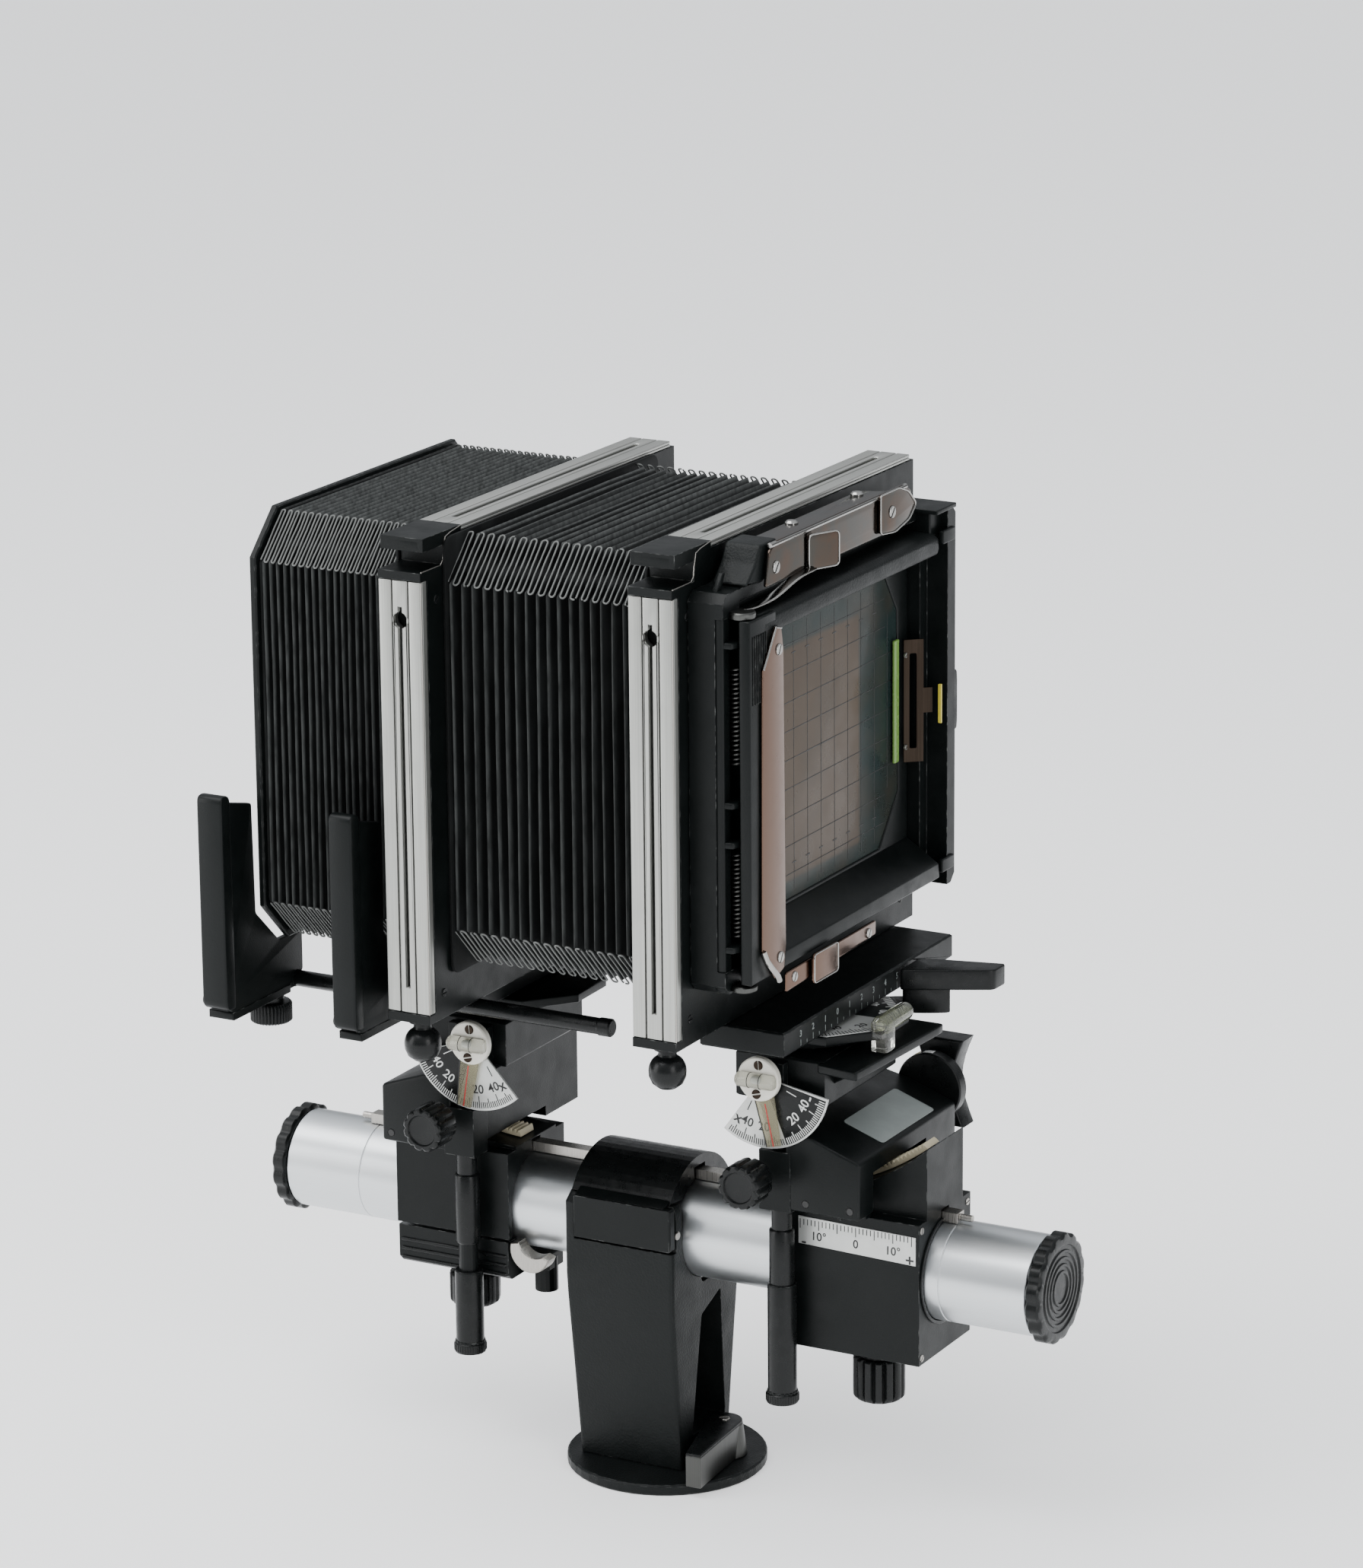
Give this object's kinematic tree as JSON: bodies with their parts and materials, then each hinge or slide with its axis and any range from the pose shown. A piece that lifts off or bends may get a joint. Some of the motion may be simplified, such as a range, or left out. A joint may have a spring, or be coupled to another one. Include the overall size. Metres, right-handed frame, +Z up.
{
  "type": "large format view camera",
  "caption": "Monorail view camera: square frames joined by bellows, each on a geared standard, on a round rail held by a footed clamp, with a sprung ground-glass back and a bellows lens hood.",
  "frame": {"origin": "centre of the underside of the foot disc", "axes": "+Z up, +X along the rail towards the ground glass, -Y towards the side that carries the rise knobs and tilt scales"},
  "size_m": [0.3056, 0.1835, 0.3538],
  "materials": {
    "black_paint": "satin black enamel with a slight green cast, worn bright along edges",
    "black_plastic": "moulded black plastic, satin",
    "bellows_leather": "black coated bellows cloth, grey along the fold edges",
    "satin_strip": "warm grey satin anodised aluminium",
    "rail_metal": "bright drawn aluminium with fine lines along it",
    "bright_plate": "polished stainless spring plate",
    "plain_steel": "plain steel with light wear",
    "scale_plate": "silver and black scale plate with engraved divisions",
    "clear_acrylic": "slightly yellowed clear plastic",
    "nylon": "cream nylon",
    "ground_glass": "fine ground glass with a printed grid"
  },
  "bodies": {
    "base": {"foot_disc": "black_paint", "clamp_tower": "black_paint"},
    "jaw": {"clamp_jaw": "black_paint"},
    "latch": {"jaw_latch": "black_paint"},
    "foot_lever": {"foot_lever": "black_paint"},
    "rail": {"rail_tube": "rail_metal", "rail_rack": "plain_steel", "rail_front_cap": "black_plastic", "rail_rear_cap": "black_plastic", "main_bellows": "bellows_leather"},
    "front_carriage": {"front_carriage": "black_paint", "front_tilt_rack": "nylon", "front_clamp_jaw": "black_paint"},
    "front_cradle": {"front_tilt_housing": "black_paint", "front_lift_tube": "black_paint"},
    "front_lift": {"front_lift_rod": "black_paint", "front_fan_scale": "scale_plate"},
    "front_bearer": {"front_bearer": "black_paint", "front_level": "clear_acrylic"},
    "front_table": {"front_swing_table": "black_paint"},
    "front_standard": {"front_frame": "black_paint", "front_side_strip": "satin_strip", "front_top_strip": "satin_strip", "front_shift_bar": "black_paint", "hood_rod": "black_paint", "hood_rear_bracket": "black_paint"},
    "front_focus_knob": {"front_focus_knob": "black_plastic"},
    "front_tilt_knob": {"front_tilt_knob": "black_plastic"},
    "front_rise_knob": {"front_rise_knob": "black_plastic"},
    "front_ball_knob": {"front_ball_knob": "black_plastic"},
    "rear_carriage": {"rear_carriage": "black_paint", "rear_tilt_rack": "nylon"},
    "rear_cradle": {"rear_tilt_housing": "black_paint", "rear_lift_tube": "black_paint"},
    "rear_lift": {"rear_lift_rod": "black_paint", "rear_fan_scale": "scale_plate"},
    "rear_bearer": {"rear_bearer": "black_paint", "rear_level": "clear_acrylic"},
    "rear_table": {"rear_swing_table": "black_paint"},
    "rear_standard": {"rear_frame": "black_paint", "rear_side_strip": "satin_strip", "rear_top_strip": "satin_strip", "rear_shift_bar": "black_paint", "back_holder": "black_paint", "back_upper_spring": "plain_steel", "back_lower_spring": "plain_steel"},
    "rear_focus_knob": {"rear_focus_knob": "black_plastic"},
    "rear_tilt_knob": {"rear_tilt_knob": "black_plastic"},
    "rear_rise_knob": {"rear_rise_knob": "black_plastic"},
    "rear_ball_knob": {"rear_ball_knob": "black_plastic"},
    "cam_lever": {"front_cam_lever": "plain_steel"},
    "swing_lever": {"rear_swing_lever": "black_paint"},
    "glass": {"glass_frame": "black_paint", "ground_glass": "ground_glass", "glass_strip": "bright_plate", "back_top_plate": "bright_plate"},
    "hood": {"hood_front_plate": "black_paint", "hood_front_bracket": "black_paint", "hood_bellows": "bellows_leather"},
    "thumb_knob": {"hood_thumb_knob": "black_plastic"}
  },
  "joints": [
    {"name": "rail_slide", "type": "slide", "parent": "base", "child": "rail", "axis": [1, 0, 0], "range_m": [-0.006, 0.006]},
    {"name": "jaw_hinge", "type": "hinge", "parent": "base", "child": "jaw", "pos_m": [-0.005, 0.0218, 0.104], "axis": [-1, 0, 0], "range_deg": [0, 60]},
    {"name": "latch_hinge", "type": "hinge", "parent": "base", "child": "latch", "pos_m": [-0.0031, -0.0228, 0.0888], "axis": [1, 0, 0], "range_deg": [0, 45]},
    {"name": "foot_lever_pivot", "type": "hinge", "parent": "base", "child": "foot_lever", "pos_m": [0.0205, 0.005, 0.0105], "axis": [0, 0, 1], "range_deg": [0, 25]},
    {"name": "front_focus", "type": "slide", "parent": "rail", "child": "front_carriage", "axis": [-1, 0, 0], "range_m": [-0.002, 0.04], "deforming": ["main_bellows"]},
    {"name": "front_tilt", "type": "hinge", "parent": "front_carriage", "child": "front_cradle", "pos_m": [-0.0498, 0, 0.21], "axis": [0, -1, 0], "range_deg": [-5, 5], "deforming": ["main_bellows"]},
    {"name": "front_rise", "type": "slide", "parent": "front_cradle", "child": "front_lift", "axis": [0, 0, 1], "range_m": [-0.003, 0.018], "deforming": ["main_bellows"]},
    {"name": "front_base_tilt", "type": "hinge", "parent": "front_lift", "child": "front_bearer", "pos_m": [-0.0577, 0, 0.157], "axis": [0, -1, 0], "range_deg": [-4, 12], "deforming": ["main_bellows"]},
    {"name": "front_swing", "type": "hinge", "parent": "front_bearer", "child": "front_table", "pos_m": [-0.0618, 0, 0.17], "axis": [0, 0, 1], "range_deg": [-6, 6], "deforming": ["main_bellows"]},
    {"name": "front_shift", "type": "slide", "parent": "front_table", "child": "front_standard", "axis": [0, 1, 0], "range_m": [-0.015, 0.015], "deforming": ["main_bellows"]},
    {"name": "front_focus_knob_turn", "type": "hinge", "parent": "front_carriage", "child": "front_focus_knob", "pos_m": [-0.0783, 0, 0.055], "axis": [0, 0, 1], "range_deg": [-40, 370]},
    {"name": "front_tilt_knob_turn", "type": "hinge", "parent": "front_cradle", "child": "front_tilt_knob", "pos_m": [-0.0858, 0.05, 0.138], "axis": [0, 1, 0], "range_deg": [-62, 62]},
    {"name": "front_rise_knob_turn", "type": "hinge", "parent": "front_cradle", "child": "front_rise_knob", "pos_m": [-0.069, -0.042, 0.1274], "axis": [0, 1, 0], "range_deg": [-48, 168]},
    {"name": "front_ball_knob_turn", "type": "hinge", "parent": "front_standard", "child": "front_ball_knob", "pos_m": [-0.0493, -0.08, 0.1715], "axis": [0, 0, 1], "range_deg": [-60, 60]},
    {"name": "rear_focus", "type": "slide", "parent": "rail", "child": "rear_carriage", "axis": [1, 0, 0], "range_m": [-0.004, 0.032], "deforming": ["main_bellows"]},
    {"name": "rear_tilt", "type": "hinge", "parent": "rear_carriage", "child": "rear_cradle", "pos_m": [0.0452, 0, 0.21], "axis": [0, 1, 0], "range_deg": [-5, 5], "deforming": ["main_bellows"]},
    {"name": "rear_rise", "type": "slide", "parent": "rear_cradle", "child": "rear_lift", "axis": [0, 0, 1], "range_m": [-0.005, 0.018], "deforming": ["main_bellows"]},
    {"name": "rear_base_tilt", "type": "hinge", "parent": "rear_lift", "child": "rear_bearer", "pos_m": [0.0561, 0, 0.161], "axis": [0, 1, 0], "range_deg": [-4, 12], "deforming": ["main_bellows"]},
    {"name": "rear_swing", "type": "hinge", "parent": "rear_bearer", "child": "rear_table", "pos_m": [0.0572, 0, 0.17], "axis": [0, 0, 1], "range_deg": [-6, 6], "deforming": ["main_bellows"]},
    {"name": "rear_shift", "type": "slide", "parent": "rear_table", "child": "rear_standard", "axis": [0, 1, 0], "range_m": [-0.015, 0.015], "deforming": ["main_bellows"]},
    {"name": "rear_focus_knob_turn", "type": "hinge", "parent": "rear_carriage", "child": "rear_focus_knob", "pos_m": [0.0843, 0, 0.055], "axis": [0, 0, 1], "range_deg": [-40, 370]},
    {"name": "rear_tilt_knob_turn", "type": "hinge", "parent": "rear_cradle", "child": "rear_tilt_knob", "pos_m": [0.0812, 0.05, 0.138], "axis": [0, 1, 0], "range_deg": [-62, 62]},
    {"name": "rear_rise_knob_turn", "type": "hinge", "parent": "rear_cradle", "child": "rear_rise_knob", "pos_m": [0.0558, -0.042, 0.1264], "axis": [0, 1, 0], "range_deg": [-48, 168]},
    {"name": "rear_ball_knob_turn", "type": "hinge", "parent": "rear_standard", "child": "rear_ball_knob", "pos_m": [0.0457, -0.08, 0.1759], "axis": [0, 0, 1], "range_deg": [-60, 60]},
    {"name": "cam_lever_pivot", "type": "hinge", "parent": "front_carriage", "child": "cam_lever", "pos_m": [-0.0505, -0.017, 0.077], "axis": [0, 1, 0], "range_deg": [0, 20]},
    {"name": "swing_lever_pivot", "type": "hinge", "parent": "rear_table", "child": "swing_lever", "pos_m": [0.0572, 0, 0.17], "axis": [0, 0, 1], "range_deg": [-15, 0]},
    {"name": "glass_slide", "type": "slide", "parent": "rear_standard", "child": "glass", "axis": [1, 0, 0], "range_m": [0, 0.005], "stiffness_N_per_m": 800, "springref_m": -0.004},
    {"name": "hood_slide", "type": "slide", "parent": "front_standard", "child": "hood", "axis": [-1, 0, 0], "range_m": [-0.03, 0], "deforming": ["hood_bellows"]},
    {"name": "thumb_knob_turn", "type": "hinge", "parent": "hood", "child": "thumb_knob", "pos_m": [-0.1232, -0.06, 0.1675], "axis": [0, 0, 1], "range_deg": [-90, 90]}
  ],
  "couplings": [
    {"joint": "front_focus_knob_turn", "follows": "front_focus", "rad_per_m": 160},
    {"joint": "front_tilt_knob_turn", "follows": "front_tilt", "ratio": 12},
    {"joint": "front_rise_knob_turn", "follows": "front_rise", "rad_per_m": 160},
    {"joint": "rear_focus_knob_turn", "follows": "rear_focus", "rad_per_m": 160},
    {"joint": "rear_tilt_knob_turn", "follows": "rear_tilt", "ratio": 12},
    {"joint": "rear_rise_knob_turn", "follows": "rear_rise", "rad_per_m": 160}
  ]
}
